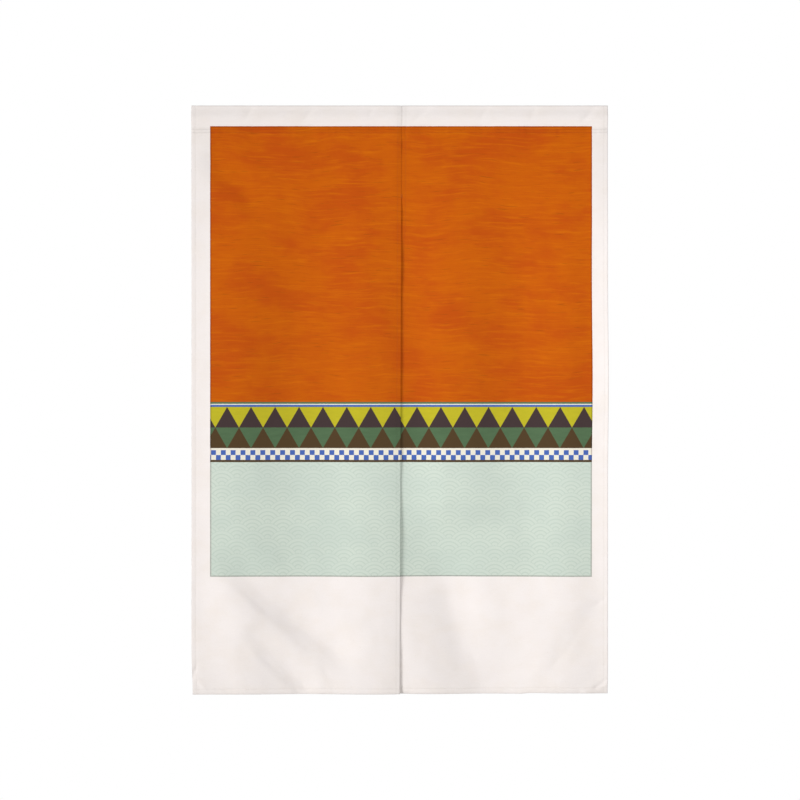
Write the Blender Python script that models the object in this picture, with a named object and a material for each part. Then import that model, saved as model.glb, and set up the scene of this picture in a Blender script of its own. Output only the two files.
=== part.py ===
"""A two-panel noren curtain that hangs from the rod pocket along its top edge.

Metres, +Z up, with the front of the curtain towards -Y. The origin is the middle of the top edge.
"""

from collections import namedtuple
import math

import bmesh
import bpy
import numpy as np

# The curtain as a whole
CURTAIN_WIDTH = 0.850
CURTAIN_DROP = 1.200
PIECE_GAP = 0.0003  # between two pieces that are sewn together

# The cloth and its hems, whose turned-in layer lies on the back
CLOTH = 0.0012
HEM_LAYER = 0.0009
SIDE_HEM = 0.010
BOTTOM_HEM = 0.014
HEM_TAPER = 0.0015

# The rod pocket lies nearly flat, widest half way down, and closes at two rows of stitches
POCKET_DROP = 0.055
UPPER_STITCHES = 0.048
POCKET_BULGE = 0.0045
POCKET_RADIUS = 0.0032  # of its rounded top, outside
POCKET_CUSP = 0.0004  # width of the hollow at its lower end, where the two walls meet
POCKET_CUSP_RISE = 0.003  # from the upper stitches up to that end

# The centre line, which leans a little, sewn above and open below
SEAM_DROP = 0.185
CENTRE_TOP_X = 0.004
CENTRE_BOTTOM_X = 0.000
SLIT_STEP_DROP = SEAM_DROP - 0.009  # here the right edge starts to step back
SLIT_LAP_DROP = SEAM_DROP + 0.047  # and here it starts to slip behind
SLIT_BLEND = 0.056
SLIT_LAP = 0.003
EDGE_TURN = 0.0016  # both edges turn back towards the centre line, over this strip of cloth
EDGE_STRIP = 0.022
RIGHT_TURN = 0.0034  # below the seam the right edge goes back further, behind the left one
RIGHT_STRIP = 0.062
TURN_EASES_Z = -0.970  # around this height it loses a share of that
TURN_EASES_HALF = 0.075
TURN_EASES_BY = 0.20

# The printed field, measured from the curtain's sides and top edge
PRINT_LEFT = 0.038
PRINT_RIGHT = 0.0325
PRINT_TOP = 0.0424
PRINT_DROP = 0.960

# Unevenness of the outline
RIGHT_SWELL = 0.0018
RIGHT_SWELL_MIDDLE = -0.560
RIGHT_SWELL_HALF = 0.105
SHORT_SIDE_X = 0.255  # right of here the bottom hem hangs a little higher
SHORT_SIDE_LIFT = 0.002
SHORT_SIDE_BLEND = 0.030

# Steps in the meshes
PANEL_COLUMNS = 18
PRINT_ROWS = 22
LOWER_ROWS = 12
HEADING_COLUMNS = 20
POCKET_STEPS = 6
ARC_STEPS = 4
FOLD_PARTS = 10

WAVE_STARTS = -0.045  # the cloth hangs straight above this height
WAVE_FULL = -0.420

# A wave runs down the whole cloth. A positive depth goes back and a negative one comes forward.
Wave = namedtuple("Wave", "name top_x bottom_x half_width depth")
WAVES = (
    Wave("left rim", -0.402, -0.408, 0.040, 0.0026),
    Wave("left outer swell", -0.326, -0.312, 0.060, -0.0046),
    Wave("left middle hollow", -0.196, -0.206, 0.066, 0.0046),
    Wave("left inner swell", -0.070, -0.062, 0.046, -0.0042),
    Wave("right slit rim", 0.026, 0.034, 0.036, 0.0024),
    Wave("right inner swell", 0.122, 0.112, 0.056, -0.0044),
    Wave("right middle hollow", 0.236, 0.252, 0.060, 0.0046),
    Wave("right outer swell", 0.338, 0.330, 0.044, -0.0030),
    Wave("right rim", 0.400, 0.402, 0.034, 0.0020),
)

# A fold follows a bent line from its start over its middle to its end, each as x and z. The two half
# widths lie to the left and the right of that direction, so that one side can be steeper. A fold bends
# only the panel that it starts on, and it fades out over this share of its line at either end.
FOLD_FADES_OVER = 0.20
Fold = namedtuple("Fold", "name start middle end left_half right_half depth")
FOLDS = (
    Fold("left long trough", (-0.372, -0.902), (-0.244, -1.040), (-0.072, -1.146), 0.034, 0.019, 0.0058),
    Fold("left long ridge", (-0.404, -0.960), (-0.290, -1.070), (-0.104, -1.178), 0.022, 0.034, -0.0038),
    Fold("left short trough", (-0.318, -1.056), (-0.252, -1.124), (-0.172, -1.214), 0.024, 0.015, 0.0040),
    Fold("left shoulder", (-0.404, -0.090), (-0.344, -0.154), (-0.272, -0.226), 0.032, 0.018, 0.0030),
    Fold("right slit hollow", (0.090, -0.800), (0.090, -1.030), (0.206, -1.270), 0.074, 0.064, 0.0138),
    Fold("right valley", (0.082, -0.880), (0.088, -1.030), (0.206, -1.256), 0.042, 0.026, 0.0036),
    Fold("right diagonal", (0.438, -0.984), (0.346, -1.070), (0.276, -1.222), 0.030, 0.018, 0.0020),
    Fold("right corner crease", (0.366, -1.198), (0.398, -1.190), (0.436, -1.166), 0.010, 0.010, -0.0014),
)

# Short slanted creases where the pocket is gathered a little along its lower stitches
CREASE_X = (-0.298, -0.184, -0.062, 0.048, 0.168, 0.270, 0.382)
CREASE_REACH = 0.026
CREASE_LEAN = 0.010
CREASE_HALF = 0.014
CREASE_DEPTH = 0.0012

# A corner curls back, and its edges draw in
Curl = namedtuple("Curl", "name x z reach back inward")
CURLS = (
    Curl("left outer corner", -0.425, -1.200, 0.090, -0.0080, 0.0030),
    Curl("right slit corner", 0.001, -1.200, 0.082, 0.0064, 0.0024),
    Curl("right outer corner", 0.425, -1.200, 0.050, 0.0030, -0.0004),
)


def ease(value):
    """Rises smoothly from 0 to 1 as value does, and is flat outside that."""
    kept = np.clip(value, 0.0, 1.0)
    return kept * kept * (3.0 - 2.0 * kept)


def bell(distance, half_width):
    """A soft bump of height 1, which reaches zero at twice the half width."""
    return ease(1.0 - np.abs(distance) / (2.0 * half_width))


def wave_depth(x, z):
    grown = ease((WAVE_STARTS - z) / (WAVE_STARTS - WAVE_FULL))
    along = np.clip(-z / CURTAIN_DROP, 0.0, 1.0)
    total = np.zeros_like(x)
    for wave in WAVES:
        middle = wave.top_x + (wave.bottom_x - wave.top_x) * along
        total += wave.depth * bell(x - middle, wave.half_width)
    return total * grown


def fold_depth(fold, x, z):
    """The depth of one fold, from the nearest point of its bent line, which is cut into straight parts."""
    start, middle, end = (np.array(point) for point in (fold.start, fold.middle, fold.end))
    share = np.linspace(0.0, 1.0, FOLD_PARTS + 1)[:, None]
    line = (1 - share) ** 2 * start + 2 * share * (1 - share) * middle + share**2 * end
    nearest = np.full(x.shape, np.inf)
    side = np.zeros_like(x)
    progress = np.zeros_like(x)
    for part, (low, high) in enumerate(zip(line, line[1:])):
        along_x, along_z = high - low
        part_length = math.hypot(along_x, along_z)
        from_x, from_z = x - low[0], z - low[1]
        reached = np.clip((from_x * along_x + from_z * along_z) / part_length**2, 0.0, 1.0)
        distance = np.hypot(from_x - reached * along_x, from_z - reached * along_z)
        closer = distance < nearest
        nearest = np.where(closer, distance, nearest)
        side = np.where(closer, along_x * from_z - along_z * from_x, side)
        progress = np.where(closer, (part + reached) / FOLD_PARTS, progress)
    half_width = np.where(side > 0, fold.left_half, fold.right_half)
    from_end = np.minimum(progress, 1.0 - progress)
    return fold.depth * bell(nearest, half_width) * ease(from_end / FOLD_FADES_OVER)


def crease_depth(x, z):
    """The pocket's creases, deepest at its stitches and gone a little above and below them."""
    strength = ease(1.0 - np.abs(z + POCKET_DROP) / CREASE_REACH)
    total = np.zeros_like(x)
    for crease_x in CREASE_X:
        middle = crease_x + CREASE_LEAN * (z + POCKET_DROP) / CREASE_REACH
        total += CREASE_DEPTH * bell(x - middle, CREASE_HALF)
    return total * strength


def curl_depth(curl, x, z):
    return curl.back * ease(1.0 - np.hypot(x - curl.x, z - curl.z) / curl.reach)


def opened(z, drop):
    """0 above this drop, where the centre is sewn, and 1 a little below it."""
    return ease((-drop - z) / SLIT_BLEND)


def slit_depth(x, z, left):
    """How far back the cloth turns beside the centre line. Below the seam the left edge lies in front."""
    inward = np.abs(x - centre_x(z))
    depth = EDGE_TURN * np.clip(1.0 - inward / EDGE_STRIP, 0.0, 1.0) ** 2
    if left:
        return depth
    kept = 1.0 - TURN_EASES_BY * bell(z - TURN_EASES_Z, TURN_EASES_HALF)
    behind = opened(z, SLIT_STEP_DROP) * kept
    return depth + RIGHT_TURN * behind * np.clip(1.0 - inward / RIGHT_STRIP, 0.0, 1.0) ** 2


def cloth_depth(x, z, left):
    """How far back the front face of the cloth lies from its plane at the pocket's stitches."""
    depth = wave_depth(x, z) + crease_depth(x, z) + slit_depth(x, z, left)
    for fold in FOLDS:
        if (fold.start[0] < 0) == left:
            depth += fold_depth(fold, x, z)
    for curl in CURLS:
        if (curl.x < 0) == left:
            depth += curl_depth(curl, x, z)
    return depth


def centre_x(z):
    share = np.clip(-z / CURTAIN_DROP, 0.0, 1.0)
    return CENTRE_TOP_X + (CENTRE_BOTTOM_X - CENTRE_TOP_X) * share


def drawn_in(x, z):
    """How far a curling corner draws the side edge in at this height, towards +X."""
    total = np.zeros_like(z)
    for curl in CURLS:
        if abs(curl.x - x) < SIDE_HEM:
            total += math.copysign(curl.inward, -curl.x) * ease(1.0 - (z - curl.z) / curl.reach)
    return total


def panel_sides(z, left):
    """The x of the left and the right edge of one panel at these heights."""
    if left:
        outer = -CURTAIN_WIDTH / 2 + drawn_in(-CURTAIN_WIDTH / 2, z)
        return outer, centre_x(z)
    swell = RIGHT_SWELL * bell(z - RIGHT_SWELL_MIDDLE, RIGHT_SWELL_HALF)
    outer = CURTAIN_WIDTH / 2 - RIGHT_SWELL + swell + drawn_in(CURTAIN_WIDTH / 2, z)
    tucked = opened(z, SLIT_LAP_DROP) * (SLIT_LAP + PIECE_GAP)
    return centre_x(z) + PIECE_GAP - tucked, outer


def hanging_z(x, drop):
    """The height at this drop. Only the cloth below the print shares in the short side's lift."""
    lift = SHORT_SIDE_LIFT * ease((x - SHORT_SIDE_X) / SHORT_SIDE_BLEND + 0.5)
    return -drop + lift * np.clip((drop - PRINT_DROP) / (CURTAIN_DROP - PRINT_DROP), 0.0, 1.0)


def steps(start, end, count):
    return list(np.linspace(start, end, count + 1)[1:-1])


def panel_columns(left):
    """Distances across one panel, with the hems and the edge of the print on lines of their own."""
    width = CURTAIN_WIDTH / 2
    hem_ends = SIDE_HEM + HEM_TAPER
    low = [0.0, SIDE_HEM, hem_ends]
    high = [width - hem_ends, width - SIDE_HEM, width]
    if left:
        low.append(PRINT_LEFT)
    else:
        high.insert(0, width - PRINT_RIGHT)
    return np.array(low + steps(low[-1], high[0], PANEL_COLUMNS) + high)


def panel_rows():
    """Drops below the pocket's stitches, finer under the print, where the folds are."""
    top = POCKET_DROP + PIECE_GAP
    hem_starts = CURTAIN_DROP - BOTTOM_HEM
    rows = [top] + steps(top, PRINT_DROP, PRINT_ROWS) + [PRINT_DROP]
    rows += steps(PRINT_DROP, hem_starts - HEM_TAPER, LOWER_ROWS)
    rows += [hem_starts - HEM_TAPER, hem_starts, CURTAIN_DROP]
    return np.array(rows)


def hem_thickness(columns, rows):
    """The hems' extra layer at each point of the grid, from the flat distances to the edges."""
    width = CURTAIN_WIDTH / 2
    to_side = np.minimum(columns, width - columns)[None, :]
    to_bottom = (CURTAIN_DROP - rows)[:, None]
    beyond = np.minimum(to_side - SIDE_HEM, to_bottom - BOTTOM_HEM)
    return HEM_LAYER * np.clip(1.0 - beyond / HEM_TAPER, 0.0, 1.0)


def cloth_material(name, colour, roughness):
    material = bpy.data.materials.new(name)
    material.use_nodes = True
    shader = material.node_tree.nodes["Principled BSDF"]
    shader.inputs["Base Color"].default_value = (*colour, 1.0)
    shader.inputs["Roughness"].default_value = roughness
    shader.inputs["Metallic"].default_value = 0.0
    material.diffuse_color = (*colour, 1.0)
    return material


def add_object(name, mesh, materials, root):
    piece = bpy.data.objects.new(name, mesh)
    for material in materials:
        mesh.materials.append(material)
    bpy.context.scene.collection.objects.link(piece)
    piece.parent = root
    mesh.shade_smooth()
    mesh.set_sharp_from_angle(angle=math.radians(50))
    return piece


def colour_print(mesh):
    """Puts the print's colour on the faces that lie in the printed field of the front."""
    for face in mesh.polygons:
        x, _, z = face.center
        inside = -CURTAIN_WIDTH / 2 + PRINT_LEFT < x < CURTAIN_WIDTH / 2 - PRINT_RIGHT
        if inside and -PRINT_DROP < z < -PRINT_TOP and face.normal.y < -0.5:
            face.material_index = 1


def add_panel(name, left, materials, root):
    """One panel of cloth below the pocket: a front grid and a back grid, closed along the rim."""
    columns, rows = panel_columns(left), panel_rows()
    shares = columns / columns[-1]
    low, high = panel_sides(-rows[:, None], left)
    x = low + shares[None, :] * (high - low)
    z = hanging_z(x, rows[:, None])
    front = cloth_depth(x, z, left) - CLOTH
    back = front + CLOTH + hem_thickness(columns, rows)

    shape = bmesh.new()
    grids = []
    for y in (front, back):
        points = np.stack([x, y, z], axis=-1)
        grids.append([[shape.verts.new(point) for point in line] for line in points])
    front_grid, back_grid = grids
    last_row, last_column = len(rows) - 1, len(columns) - 1
    for r in range(last_row):
        for c in range(last_column):
            f, b = front_grid, back_grid
            shape.faces.new((f[r][c], f[r + 1][c], f[r + 1][c + 1], f[r][c + 1]))
            shape.faces.new((b[r][c], b[r][c + 1], b[r + 1][c + 1], b[r + 1][c]))
    rim = [(0, c) for c in range(last_column)]
    rim += [(r, last_column) for r in range(last_row)]
    rim += [(last_row, c) for c in range(last_column, 0, -1)]
    rim += [(r, 0) for r in range(last_row, 0, -1)]
    for (r, c), (next_r, next_c) in zip(rim, rim[1:] + rim[:1]):
        edge_front = front_grid[r][c], front_grid[next_r][next_c]
        edge_back = back_grid[next_r][next_c], back_grid[r][c]
        shape.faces.new(edge_front + edge_back)
    mesh = bpy.data.meshes.new(name)
    shape.to_mesh(mesh)
    shape.free()
    colour_print(mesh)
    return add_object(name, mesh, materials, root)


def pocket_half(z):
    """Half of the pocket's outer depth, front to back, at a height below its rounded top."""
    share = max(0.0, (z + UPPER_STITCHES) / (UPPER_STITCHES - POCKET_RADIUS))
    bulge = POCKET_BULGE * math.sin(math.pi * share) ** 2
    return CLOTH + (POCKET_RADIUS - CLOTH) * share + bulge


def pocket_section():
    """The pocket's section as pairs of an outer and an inner point, each y and z.

    It runs from the stitches up the front, over the rounded top and down the back.
    """
    heights = list(np.linspace(-PRINT_TOP, -POCKET_RADIUS, POCKET_STEPS + 1)[:-1])
    hollow_low = -UPPER_STITCHES + POCKET_CUSP_RISE
    front = []
    for z in [-POCKET_DROP, -UPPER_STITCHES] + heights:
        inner_z = np.interp(z, (-POCKET_DROP, -POCKET_RADIUS), (hollow_low, -POCKET_RADIUS))
        inner_y = max(POCKET_CUSP / 2, pocket_half(inner_z) - CLOTH)
        front.append(((-pocket_half(z), z), (-inner_y, inner_z)))
    arc = []
    for step in range(ARC_STEPS + 1):
        angle = math.pi * step / ARC_STEPS
        points = []
        for radius in (POCKET_RADIUS, POCKET_RADIUS - CLOTH):
            points.append((-math.cos(angle) * radius, math.sin(angle) * radius - POCKET_RADIUS))
        arc.append(tuple(points))
    back = [((-outer[0], outer[1]), (-inner[0], inner[1])) for outer, inner in reversed(front)]
    return front + arc + back


def add_heading(name, left, materials, root):
    """One half of the rod pocket: a sleeve along X, open at both ends."""
    section = pocket_section()
    count = len(section)
    print_x = PRINT_LEFT if left else CURTAIN_WIDTH / 2 - PRINT_RIGHT
    shares = list(np.linspace(0.0, 1.0, HEADING_COLUMNS + 1))
    shares = sorted(shares + [print_x / (CURTAIN_WIDTH / 2)])
    shape = bmesh.new()
    rings = []
    for share in shares:
        ring = []
        for layer in (0, 1):
            loop = []
            for pair in section:
                y, z = pair[layer]
                height = np.array(pair[0][1])
                low, high = panel_sides(height, left)
                x = low + share * (high - low)
                depth = cloth_depth(np.array(x), height, left)
                loop.append(shape.verts.new((float(x), y + float(depth), z)))
            ring.append(loop)
        rings.append(ring)
    for (outer, inner), (next_outer, next_inner) in zip(rings, rings[1:]):
        for k in range(count):
            n = (k + 1) % count
            shape.faces.new((outer[k], next_outer[k], next_outer[n], outer[n]))
            shape.faces.new((inner[k], inner[n], next_inner[n], next_inner[k]))
    for (outer, inner), flip in ((rings[0], False), (rings[-1], True)):
        for k in range(count):
            n = (k + 1) % count
            face = (outer[k], outer[n], inner[n], inner[k])
            shape.faces.new(face[::-1] if flip else face)
    mesh = bpy.data.meshes.new(name)
    shape.to_mesh(mesh)
    shape.free()
    colour_print(mesh)
    return add_object(name, mesh, materials, root)


def main():
    for old in list(bpy.data.objects):
        bpy.data.objects.remove(old, do_unlink=True)
    root = bpy.data.objects.new("curtain", None)
    bpy.context.scene.collection.objects.link(root)
    natural = cloth_material("natural_cloth", (0.90, 0.86, 0.82), 0.9)
    printed = cloth_material("printed_field", (0.54, 0.105, 0.006), 0.9)
    for name, left in (("left", True), ("right", False)):
        add_panel(name + "_panel", left, (natural, printed), root)
        add_heading(name + "_heading", left, (natural, printed), root)


main()
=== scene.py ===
"""The noren curtain's looks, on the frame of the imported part. Metres, +Z up, front towards -Y."""

from collections import namedtuple
import math

import bpy
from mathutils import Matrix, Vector
import numpy as np


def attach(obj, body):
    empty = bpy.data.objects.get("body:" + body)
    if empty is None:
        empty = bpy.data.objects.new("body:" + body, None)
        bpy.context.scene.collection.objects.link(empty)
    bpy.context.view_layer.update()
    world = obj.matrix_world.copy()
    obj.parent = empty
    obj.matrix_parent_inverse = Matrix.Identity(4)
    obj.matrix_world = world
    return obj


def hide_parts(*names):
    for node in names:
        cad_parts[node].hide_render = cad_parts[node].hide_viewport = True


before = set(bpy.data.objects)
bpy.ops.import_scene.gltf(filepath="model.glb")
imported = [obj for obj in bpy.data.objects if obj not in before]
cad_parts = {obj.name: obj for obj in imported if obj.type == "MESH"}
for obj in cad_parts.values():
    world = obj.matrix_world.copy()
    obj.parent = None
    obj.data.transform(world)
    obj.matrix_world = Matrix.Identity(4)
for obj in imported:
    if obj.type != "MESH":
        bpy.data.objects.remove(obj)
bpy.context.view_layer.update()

TWO_PI = 2.0 * math.pi

# The curtain as a whole, as in the CAD part
CURTAIN_WIDTH = 0.850
CURTAIN_DROP = 1.200
PIECE_GAP = 0.0003
CLOTH = 0.0012  # the solids' thickness: the cloth's front face lies this far in front of its plane

# The rod pocket
POCKET_DROP = 0.055
UPPER_STITCHES = 0.048
POCKET_BULGE = 0.0045
POCKET_RADIUS = 0.0032

# The centre line, sewn above and open below
SEAM_DROP = 0.185
CENTRE_TOP_X = 0.004
CENTRE_BOTTOM_X = 0.000
SLIT_STEP_DROP = SEAM_DROP - 0.009
SLIT_LAP_DROP = SEAM_DROP + 0.047
SLIT_BLEND = 0.056
SLIT_LAP = 0.003
EDGE_TURN = 0.0016
EDGE_STRIP = 0.022
RIGHT_TURN = 0.0034
RIGHT_STRIP = 0.062
TURN_EASES_Z = -0.970
TURN_EASES_HALF = 0.075
TURN_EASES_BY = 0.20

# In the seam the two hems meet closely, and turn back less than the CAD's
SEAM_LAP = 0.0002
SEAM_LAP_STARTS = 0.004
SEAM_TURN = 0.0008
SEAM_TURN_STRIP = 0.045  # of the right edge, whose turn is the more gentle one
SLIT_TURN = 0.0034  # below the seam the right edge's turn is wider and softer than the CAD's
SLIT_TURN_STRIP = 0.100

# The outer edges turn a little, from this drop on
LEFT_MARGIN_TURN = 0.0012
LEFT_MARGIN_TURN_ENDS = 1.04
LEFT_MARGIN_STRIP = 0.055
RIGHT_MARGIN_TURN = -0.0044
RIGHT_MARGIN_STRIP = 0.092
MARGIN_TURN_STARTS = 0.14

# Unevenness of the outline
RIGHT_SWELL = 0.0018
RIGHT_SWELL_MIDDLE = -0.560
RIGHT_SWELL_HALF = 0.105
SHORT_SIDE_X = 0.255
SHORT_SIDE_LIFT = 0.002
SHORT_SIDE_BLEND = 0.030

WAVE_STARTS = -0.045
WAVE_FULL = -0.420

# A wave runs down the whole cloth. A positive depth goes back and a negative one comes forward.
Wave = namedtuple("Wave", "name top_x bottom_x half_width depth")
WAVES = (
    Wave("left rim", -0.402, -0.408, 0.040, 0.0026),
    Wave("left outer swell", -0.326, -0.312, 0.060, -0.0046),
    Wave("left middle hollow", -0.196, -0.206, 0.066, 0.0046),
    Wave("left inner swell", -0.070, -0.062, 0.046, -0.0042),
    Wave("right slit rim", 0.026, 0.034, 0.036, 0.0024),
    Wave("right inner swell", 0.122, 0.112, 0.056, -0.0044),
    Wave("right middle hollow", 0.236, 0.252, 0.060, 0.0046),
    Wave("right outer swell", 0.338, 0.330, 0.044, -0.0030),
    Wave("right rim", 0.400, 0.402, 0.034, 0.0020),
)

# A fold follows a bent line from its start over its middle to its end, each as x and z
FOLD_PARTS = 10
FOLD_FADES_OVER = 0.20
Fold = namedtuple("Fold", "name start middle end left_half right_half depth")
FOLDS = (
    Fold("left long trough", (-0.372, -0.902), (-0.244, -1.040), (-0.072, -1.146), 0.034, 0.019, 0.0058),
    Fold("left long ridge", (-0.404, -0.960), (-0.290, -1.070), (-0.104, -1.178), 0.022, 0.034, -0.0038),
    Fold("left short trough", (-0.318, -1.056), (-0.252, -1.124), (-0.172, -1.214), 0.024, 0.015, 0.0040),
    Fold("left shoulder", (-0.404, -0.090), (-0.344, -0.154), (-0.272, -0.226), 0.032, 0.018, 0.0030),
    Fold("right slit hollow", (0.090, -0.800), (0.090, -1.030), (0.206, -1.270), 0.074, 0.064, 0.0138),
    Fold("right valley", (0.082, -0.880), (0.088, -1.030), (0.206, -1.256), 0.042, 0.026, 0.0036),
    Fold("right diagonal", (0.438, -0.984), (0.346, -1.070), (0.276, -1.222), 0.030, 0.018, 0.0020),
    Fold("right corner crease", (0.366, -1.198), (0.398, -1.190), (0.436, -1.166), 0.010, 0.010, -0.0014),
)

# Short slanted creases where the pocket is gathered a little along its lower stitches
CREASE_X = (-0.298, -0.184, -0.062, 0.048, 0.168, 0.270, 0.382)
CREASE_REACH = 0.026
CREASE_LEAN = 0.010
CREASE_HALF = 0.014
CREASE_DEPTH = 0.0012

# A corner curls back, and its edges draw in
Curl = namedtuple("Curl", "name x z reach back inward")
CURLS = (
    Curl("left outer corner", -0.425, -1.200, 0.090, -0.0080, 0.0030),
    Curl("right slit corner", 0.001, -1.200, 0.082, 0.0064, 0.0024),
    Curl("right outer corner", 0.425, -1.200, 0.050, 0.0030, -0.0004),
)

# The cloth itself. Hems are turned in on the back.
SHEET = 0.0007
HEM_LAYER = 0.0006
SIDE_HEM = 0.010
BOTTOM_HEM = 0.014
HEM_STEP = 0.0007  # over this the hem's layer ends
POCKET_TAIL = 0.0035  # the pocket's back wall goes on below its stitches
CLOSING_STARTS = 0.028  # from this drop the pocket's back wall comes forward to its front wall
WALL_GAP = 0.0001  # between the two walls at the stitches
EDGE_ROUND = 0.0012
EDGE_PINCH = 0.62  # share of the thickness that the rounded edge takes away

# Distances from a side edge, and from the bottom edge, of the lines of the mesh that lie close together
SIDE_LINES = (0.0, 0.0004, 0.0012, 0.0030, 0.0055, 0.0073, 0.0079, 0.0085, 0.0091, 0.0100, 0.0107, 0.0130)
BOTTOM_LINES = (
    0.0, 0.0004, 0.0012, 0.0035, 0.0070, 0.0100, 0.0109, 0.0115, 0.0121, 0.0131, 0.0140, 0.0147, 0.0175
)
POCKET_LINES = (
    0.0590, 0.0572, 0.0562, 0.0556, 0.0550, 0.0542, 0.0520, 0.0498, 0.0490, 0.0484, 0.0478, 0.0470, 0.0450
)  # drops of those round the pocket's stitches
ACROSS_COUNT = 94
DOWN_COUNT = 270
POCKET_COUNT = 12
ARC_COUNT = 10

# Rows of stitches
SIDE_STITCHES = 0.0082
BOTTOM_STITCHES = 0.0115
LOWER_STITCH_DROP = 0.0555
UPPER_STITCH_DROP = 0.0484
STITCH_PITCH = 0.0031
STITCH_LENGTH = 0.0024
THREAD_RADIUS = 0.00019
THREAD_SIDES = 5
GROOVE_DEPTH = 0.00028
GROOVE_HALF = 0.0009
OUTER_SHARE = 0.6  # of the puckers and the groove, along the outer side hems
INNER_SHARE = 0.2  # and along the hems at the centre
SEAM_PITCH = 0.0058
SEAM_REACH = 0.0015
BARTACK_COUNT = 9
BARTACK_REACH = 0.0034
BARTACK_PITCH = 0.0009
ROW_END = 0.0016  # from a row's last stitch to the cloth's edge
ROW_START = 0.004  # the same at the top edge

# Small unevenness
Crease = namedtuple("Crease", "x drop lean reach half depth")
CREASES = (
    Crease(-0.308, 0.0160, 52, 0.026, 0.0040, 0.0016),
    Crease(-0.186, 0.0180, 46, 0.030, 0.0040, 0.0017),
    Crease(-0.060, 0.0150, 60, 0.022, 0.0034, 0.0012),
    Crease(0.042, 0.0200, 38, 0.036, 0.0044, 0.0019),
    Crease(0.170, 0.0180, 54, 0.026, 0.0038, 0.0013),
    Crease(0.270, 0.0170, 60, 0.024, 0.0036, 0.0012),
    Crease(0.384, 0.0190, 42, 0.032, 0.0042, 0.0018),
    Crease(-0.290, 1.0160, -41, 0.074, 0.0048, 0.0011),
    Crease(-0.190, 1.1040, -39, 0.074, 0.0046, 0.0010),
    Crease(-0.266, 1.1380, -45, 0.056, 0.0042, 0.0010),
    Crease(0.346, 1.1020, 53, 0.090, 0.0050, 0.0006),
    Crease(0.352, 1.0900, 53, 0.110, 0.0160, -0.0009),
    Crease(-0.352, 0.0800, -38, 0.020, 0.0030, 0.00040),
    Crease(0.336, 0.0760, 35, 0.018, 0.0030, 0.00035),
    Crease(-0.419, 1.1560, 74, 0.030, 0.0026, 0.0014),
    Crease(-0.404, 1.1780, -48, 0.024, 0.0028, -0.0011),
    Crease(-0.150, 1.1560, -62, 0.022, 0.0034, 0.00060),
    Crease(-0.196, 1.1840, -38, 0.022, 0.0030, 0.00070),
    Crease(-0.128, 1.1220, -50, 0.026, 0.0034, 0.00045),
    Crease(0.407, 1.0120, 33, 0.024, 0.0026, 0.0012),
    Crease(0.408, 1.1810, 36, 0.028, 0.0024, 0.0024),
    Crease(0.376, 1.1920, 10, 0.026, 0.0024, 0.0012),
    Crease(0.318, 1.1320, 58, 0.030, 0.0036, 0.00050),
    Crease(0.150, 1.1260, -66, 0.030, 0.0044, 0.00050),
    Crease(0.036, 1.1860, -14, 0.026, 0.0034, 0.00060),
)
CRUMPLE_WAVES = 44
CRUMPLE_RMS = 0.00026
PUCKER_LENGTHS = (0.0075, 0.0115, 0.0175)
PUCKER_DEPTH = 0.00022
PUCKER_REACH = 0.008
HEM_ROLL = 0.0020  # the bottom hem's edge rolls back a little
HEM_ROLL_REACH = 0.006
CORNER_ROLL = 0.0020  # and more so beside the slit, on the right
CORNER_ROLL_HEIGHT = 0.055
CORNER_ROLL_WIDTH = 0.110
CORNER_HEM_ROLL = 0.0036  # and its hem's edge most of all
CORNER_HEM_WIDTH = 0.036
SLIT_CORNER = CURLS[1]
CORNER_CURLS_LESS = 0.8  # share of the CAD's curl that this corner is without
SMOOTH_BLEND = 0.06  # the waves fade out beside the slit, below the print and up to this x
SMOOTH_BLEND_X = 0.12
SMOOTH_ENDS_X = 0.22

# The printed field, measured from the curtain's left side and top edge, and the bands of its design
PRINT_LEFT = 0.038
PRINT_RIGHT = CURTAIN_WIDTH - 0.0325
PRINT_TOP = 0.0424
PRINT_DROP = 0.960
ORANGE_ENDS = 0.604
LIGHT_LINE = 0.6078
BLUE_LINE = 0.6098
TRIANGLES_START = 0.614
TRIANGLE_HEIGHT = 0.042
TRIANGLE_BASE = 0.0485
CHECKS_START = 0.702
CHECK_SIZE = 0.010
CHECK_ROWS = 2
SAGE_STARTS = 0.7265
WAVE_RADIUS = 0.031
INK_WOBBLE = 0.0007
INK_SOFT = 0.00025
EDGE_LINE = 0.0024

# How much darker the cloth is painted: painted shade in its rows of needle holes, which add their own
# darkening, on its hems, on the pocket's band, at its edges and beside the seam
SEAM_SHADE = 0.030
SEAM_SHADE_REACH = 0.022
HEM_SHADE = 0.016
BOTTOM_SHADE = 0.006
EDGE_SHADE = 0.12
HEM_ROW_SHADE = 0.014
POCKET_ROW_SHADE = 0.085
POCKET_BAND_SHADE = 0.035

YARN_PITCH = 0.00062


def ease(value):
    """Rises smoothly from 0 to 1 as value does, and is flat outside that."""
    kept = np.clip(value, 0.0, 1.0)
    return kept * kept * (3.0 - 2.0 * kept)


def bell(distance, half_width):
    """A soft bump of height 1, which reaches zero at twice the half width."""
    return ease(1.0 - np.abs(distance) / (2.0 * half_width))


def wave_depth(x, z):
    grown = ease((WAVE_STARTS - z) / (WAVE_STARTS - WAVE_FULL))
    along = np.clip(-z / CURTAIN_DROP, 0.0, 1.0)
    total = np.zeros_like(x)
    for wave in WAVES:
        middle = wave.top_x + (wave.bottom_x - wave.top_x) * along
        total += wave.depth * bell(x - middle, wave.half_width)
    return total * grown


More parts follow.
